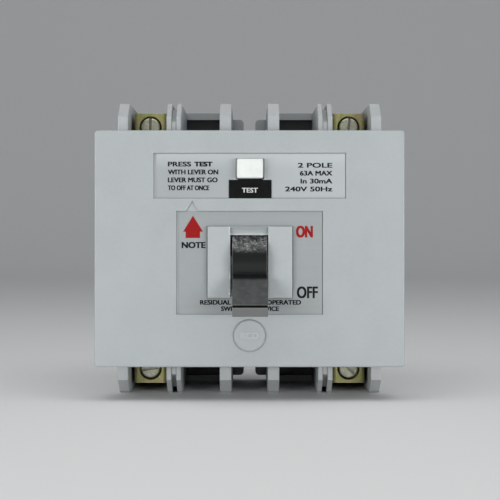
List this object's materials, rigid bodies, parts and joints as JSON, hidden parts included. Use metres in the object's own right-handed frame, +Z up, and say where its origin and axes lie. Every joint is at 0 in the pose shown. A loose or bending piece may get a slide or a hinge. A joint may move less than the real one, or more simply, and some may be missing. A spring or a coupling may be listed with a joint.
{
  "type": "residual current device",
  "caption": "Toggle-operated residual current device with a test button, shallow front cover over a deeper base, and slotted clamp terminals between moulded ears.",
  "frame": {"origin": "centre of the flat back mounting face", "axes": "+Z up with the test button above the lever, +X to the right as seen from the front, the front faces -Y"},
  "size_m": [0.0926, 0.0802, 0.0914],
  "materials": {
    "base_plastic": "satin moulded thermoset, light grey",
    "cover_plastic": "satin moulded thermoset, light grey",
    "dark_insulator": "dark insulating board",
    "label_foil": "satin silver-grey foil label",
    "black_legend": "black printed film",
    "lever_plastic": "black moulding, worn",
    "button_plastic": "white moulding",
    "carrier_plastic": "dark phenolic moulding",
    "arc_fibre": "vulcanised fibre",
    "plain_steel": "zinc-plated steel",
    "spring_steel": "spring wire",
    "copper": "tinned or bare copper",
    "silver": "silver contact alloy",
    "core_material": "core in a dark coating",
    "wire_insulation": "sleeved conductor",
    "brass_leaf": "spring brass",
    "resistor_body": "lacquered body",
    "passivated_steel": "yellow-passivated zinc-plated steel",
    "clamp_screw_steel": "passivated steel screw"
  },
  "bodies": {
    "root": {"arc_chute_cheeks": "arc_fibre", "arc_plates": "plain_steel", "base_housing": "base_plastic", "cover_screw": "plain_steel", "cover_screw_cap": "cover_plastic", "fixed_contacts": "silver", "frame_plate_left": "plain_steel", "frame_plate_right": "plain_steel", "frame_screws": "plain_steel", "frame_spacers": "plain_steel", "front_cover": "cover_plastic", "lever_bezel": "cover_plastic", "lever_pivot_pin": "plain_steel", "lever_return_spring": "spring_steel", "load_tail_left": "copper", "load_tail_right": "copper", "lower_label": "label_foil", "mechanism_cover": "base_plastic", "mechanism_cover_screws": "plain_steel", "pocket_liners": "dark_insulator", "primary_conductor_left": "wire_insulation", "primary_conductor_right": "wire_insulation", "secondary_leads": "copper", "secondary_winding": "copper", "supply_busbar_left": "copper", "supply_busbar_right": "copper", "terminal_cage_bottom_left": "passivated_steel", "terminal_cage_bottom_right": "passivated_steel", "terminal_cage_top_left": "passivated_steel", "terminal_cage_top_right": "passivated_steel", "test_button_spring": "spring_steel", "test_contact_strip": "brass_leaf", "test_legend_plate": "black_legend", "test_resistor": "resistor_body", "toroid_core": "core_material", "trip_relay": "carrier_plastic", "upper_label": "label_foil"},
    "lever": {"switch_lever": "lever_plastic"},
    "link": {"toggle_link": "plain_steel"},
    "contact_bridge": {"carrier_shaft": "plain_steel", "drive_arm": "plain_steel", "contact_carrier_left": "carrier_plastic", "contact_carrier_right": "carrier_plastic", "contact_arm_left": "copper", "contact_arm_right": "copper", "contact_tips": "silver", "contact_springs": "spring_steel"},
    "trip_bar": {"trip_lever": "dark_insulator"},
    "plunger": {"relay_plunger": "plain_steel"},
    "button": {"test_button": "button_plastic"},
    "plate_top_left": {"pressure_plate_top_left": "passivated_steel"},
    "screw_top_left": {"terminal_screw_top_left": "clamp_screw_steel"},
    "plate_top_right": {"pressure_plate_top_right": "passivated_steel"},
    "screw_top_right": {"terminal_screw_top_right": "clamp_screw_steel"},
    "plate_bottom_left": {"pressure_plate_bottom_left": "passivated_steel"},
    "screw_bottom_left": {"terminal_screw_bottom_left": "clamp_screw_steel"},
    "plate_bottom_right": {"pressure_plate_bottom_right": "passivated_steel"},
    "screw_bottom_right": {"terminal_screw_bottom_right": "clamp_screw_steel"}
  },
  "joints": [
    {"name": "lever_hinge", "type": "hinge", "parent": "root", "child": "lever", "pos_m": [0, -0.0603, -0.004], "axis": [-1, 0, 0], "range_deg": [0, 70]},
    {"name": "link_hinge", "type": "hinge", "parent": "lever", "child": "link", "pos_m": [0, -0.05557, -0.00068], "axis": [1, 0, 0], "range_deg": [0, 70]},
    {"name": "contact_hinge", "type": "hinge", "parent": "root", "child": "contact_bridge", "pos_m": [0, -0.026, 0.004], "axis": [1, 0, 0], "range_deg": [0, 16]},
    {"name": "trip_hinge", "type": "hinge", "parent": "root", "child": "trip_bar", "pos_m": [0, -0.0415, 0.013], "axis": [-1, 0, 0], "range_deg": [0, 13.5], "stiffness_Nm_per_rad": 0.01, "springref_deg": -2.86},
    {"name": "plunger_slide", "type": "slide", "parent": "root", "child": "plunger", "axis": [0, 0, -1], "range_m": [0, 0.0014]},
    {"name": "button_slide", "type": "slide", "parent": "root", "child": "button", "axis": [0, 1, 0], "range_m": [0, 0.002], "stiffness_N_per_m": 400, "springref_m": -0.001, "deforming": ["test_button_spring"]},
    {"name": "clamp_travel_top_left", "type": "slide", "parent": "root", "child": "plate_top_left", "axis": [0, 1, 0], "range_m": [0, 0.006]},
    {"name": "clamp_turn_top_left", "type": "hinge", "parent": "plate_top_left", "child": "screw_top_left", "pos_m": [-0.0316, -0.03, 0.0385], "axis": [0, 1, 0], "range_deg": [0, 2160]},
    {"name": "clamp_travel_top_right", "type": "slide", "parent": "root", "child": "plate_top_right", "axis": [0, 1, 0], "range_m": [0, 0.006]},
    {"name": "clamp_turn_top_right", "type": "hinge", "parent": "plate_top_right", "child": "screw_top_right", "pos_m": [0.0316, -0.03, 0.0385], "axis": [0, 1, 0], "range_deg": [0, 2160]},
    {"name": "clamp_travel_bottom_left", "type": "slide", "parent": "root", "child": "plate_bottom_left", "axis": [0, 1, 0], "range_m": [0, 0.006]},
    {"name": "clamp_turn_bottom_left", "type": "hinge", "parent": "plate_bottom_left", "child": "screw_bottom_left", "pos_m": [-0.0316, -0.03, -0.0385], "axis": [0, 1, 0], "range_deg": [0, 2160]},
    {"name": "clamp_travel_bottom_right", "type": "slide", "parent": "root", "child": "plate_bottom_right", "axis": [0, 1, 0], "range_m": [0, 0.006]},
    {"name": "clamp_turn_bottom_right", "type": "hinge", "parent": "plate_bottom_right", "child": "screw_bottom_right", "pos_m": [0.0316, -0.03, -0.0385], "axis": [0, 1, 0], "range_deg": [0, 2160]}
  ],
  "couplings": [
    {"joint": "link_hinge", "follows": "lever_hinge", "ratio": 1},
    {"joint": "contact_hinge", "follows": "lever_hinge", "ratio": 0.22857},
    {"joint": "trip_hinge", "follows": "plunger_slide", "rad_per_m": 166.67},
    {"joint": "clamp_turn_top_left", "follows": "clamp_travel_top_left", "rad_per_m": 6283.2},
    {"joint": "clamp_turn_top_right", "follows": "clamp_travel_top_right", "rad_per_m": 6283.2},
    {"joint": "clamp_turn_bottom_left", "follows": "clamp_travel_bottom_left", "rad_per_m": 6283.2},
    {"joint": "clamp_turn_bottom_right", "follows": "clamp_travel_bottom_right", "rad_per_m": 6283.2}
  ]
}
